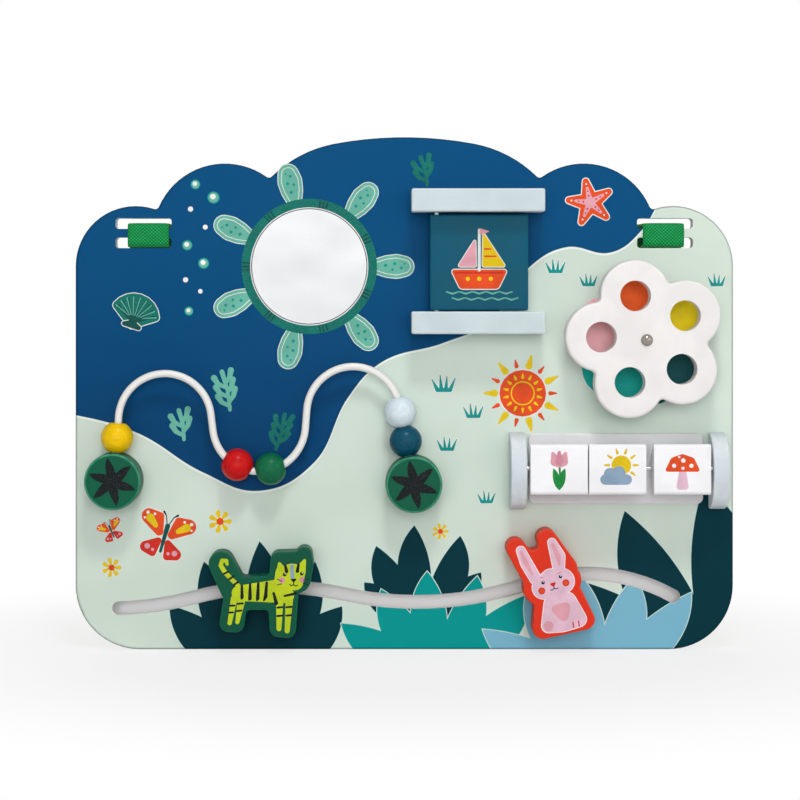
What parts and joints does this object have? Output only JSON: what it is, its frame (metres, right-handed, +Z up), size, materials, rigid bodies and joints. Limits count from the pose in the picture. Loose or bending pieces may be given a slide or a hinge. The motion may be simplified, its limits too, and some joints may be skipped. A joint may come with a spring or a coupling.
{
  "type": "busy board",
  "caption": "Wave-topped wooden busy board with straps, mirror, bead maze, hinged door, flower spinner, picture blocks and two figures on a wavy track.",
  "frame": {"origin": "middle of the flat back face, where the board's left-right middle and the height midway between its bottom and the top of its arch meet", "axes": "+X to the right seen from the front, +Y out of the back, +Z up"},
  "size_m": [0.4, 0.0866, 0.3116],
  "materials": {
    "painted_board": "satin printed paint over plywood",
    "back_panel": "clear-sealed thin plywood",
    "mirror_glass": "polished safety mirror",
    "foam_pad": "matte foam tape",
    "coated_wire": "smooth powder coat",
    "mint_paint": "satin paint",
    "yellow_lacquer": "gloss lacquer",
    "red_lacquer": "gloss lacquer",
    "green_lacquer": "gloss lacquer",
    "teal_lacquer": "gloss lacquer",
    "pale_lacquer": "gloss lacquer",
    "rail_paint": "satin paint",
    "door_paint": "satin paint",
    "white_paint": "satin paint",
    "bracket_paint": "satin paint",
    "cat_paint": "satin paint",
    "rabbit_paint": "satin paint",
    "bare_beech": "sanded, unfinished",
    "zinc_screw": "zinc-plated",
    "bright_pin": "bright steel",
    "bush_brass": "machined",
    "webbing": "woven herringbone webbing",
    "hook_tape": "hook and loop tape"
  },
  "bodies": {
    "board": {"back_board": "back_panel", "back_board_screws": "zinc_screw", "bead_wire": "coated_wire", "block_bracket_left": "bracket_paint", "block_bracket_right": "bracket_paint", "block_rod": "bright_pin", "block_tray": "white_paint", "bracket_screws": "zinc_screw", "door_pins": "bright_pin", "door_rail_bottom": "rail_paint", "door_rail_screws": "zinc_screw", "door_rail_top": "rail_paint", "flower_nut": "zinc_screw", "flower_screw": "zinc_screw", "flower_spacer": "bare_beech", "front_board": "painted_board", "mirror": "mirror_glass", "mirror_pad": "foam_pad", "post_screws": "zinc_screw", "strap_hook_patches": "hook_tape", "strap_left": "webbing", "strap_loop_patches": "hook_tape", "strap_right": "webbing", "wire_post_left": "mint_paint", "wire_post_right": "mint_paint"},
    "door": {"door_panel": "door_paint"},
    "flower": {"flower_spinner": "white_paint", "flower_bushing": "bush_brass"},
    "block_left": {"picture_block_left": "white_paint"},
    "block_middle": {"picture_block_middle": "white_paint"},
    "block_right": {"picture_block_right": "white_paint"},
    "yellow_bead": {"bead_yellow": "yellow_lacquer"},
    "red_bead": {"bead_red": "red_lacquer"},
    "green_bead": {"bead_green": "green_lacquer"},
    "teal_bead": {"bead_teal": "teal_lacquer"},
    "white_bead": {"bead_white": "pale_lacquer"},
    "cat_runner": {"cat_glide": "bare_beech"},
    "cat": {"cat_figure": "cat_paint", "cat_peg": "bare_beech", "cat_screw": "zinc_screw"},
    "rabbit_runner": {"rabbit_glide": "bare_beech"},
    "rabbit": {"rabbit_figure": "rabbit_paint", "rabbit_peg": "bare_beech", "rabbit_screw": "zinc_screw"}
  },
  "joints": [
    {"name": "door_hinge", "type": "hinge", "parent": "board", "child": "door", "pos_m": [0.0194, -0.024, 0.08], "axis": [0, 0, -1], "range_deg": [-3, 183]},
    {"name": "flower_spin", "type": "hinge", "parent": "board", "child": "flower", "pos_m": [0.1448, -0.031, 0.0327], "axis": [0, -1, 0], "continuous": true},
    {"name": "block_left_spin", "type": "hinge", "parent": "board", "child": "block_left", "pos_m": [0.0918, -0.0355, -0.0444], "axis": [1, 0, 0], "continuous": true},
    {"name": "block_middle_spin", "type": "hinge", "parent": "board", "child": "block_middle", "pos_m": [0.1267, -0.0355, -0.0444], "axis": [1, 0, 0], "continuous": true},
    {"name": "block_right_spin", "type": "hinge", "parent": "board", "child": "block_right", "pos_m": [0.1653, -0.0355, -0.0444], "axis": [1, 0, 0], "continuous": true},
    {"name": "bead_yellow_slide", "type": "slide", "parent": "board", "child": "yellow_bead", "axis": [0.074, 0, 0.9973], "range_m": [0, 0.011]},
    {"name": "bead_red_slide", "type": "hinge", "parent": "board", "child": "red_bead", "pos_m": [-0.0879, -0.026, -0.0188], "axis": [0, 1, 0], "range_deg": [0, 36]},
    {"name": "bead_green_slide", "type": "hinge", "parent": "board", "child": "green_bead", "pos_m": [-0.0879, -0.026, -0.0188], "axis": [0, -1, 0], "range_deg": [0, 52]},
    {"name": "bead_teal_slide", "type": "slide", "parent": "board", "child": "teal_bead", "axis": [-0.1868, 0, 0.9824], "range_m": [0, 0.0035]},
    {"name": "bead_white_slide", "type": "slide", "parent": "board", "child": "white_bead", "axis": [-0.1868, 0, 0.9824], "range_m": [0, 0.0035]},
    {"name": "cat_travel", "type": "hinge", "parent": "board", "child": "cat_runner", "pos_m": [-0.0783, -0.0062, -0.3075], "axis": [0, -1, 0], "range_deg": [-14, 13.2]},
    {"name": "cat_spin", "type": "hinge", "parent": "cat_runner", "child": "cat", "pos_m": [-0.084, -0.015, -0.11759], "axis": [0, -1, 0], "continuous": true},
    {"name": "rabbit_travel", "type": "hinge", "parent": "board", "child": "rabbit_runner", "pos_m": [0.1108, -0.0062, -0.2176], "axis": [0, -1, 0], "range_deg": [-40.7, 7.2]},
    {"name": "rabbit_spin", "type": "hinge", "parent": "rabbit_runner", "child": "rabbit", "pos_m": [0.089, -0.015, -0.11182], "axis": [0, -1, 0], "continuous": true}
  ],
  "couplings": [
    {"joint": "bead_white_slide", "follows": "bead_teal_slide", "ratio": 1}
  ]
}
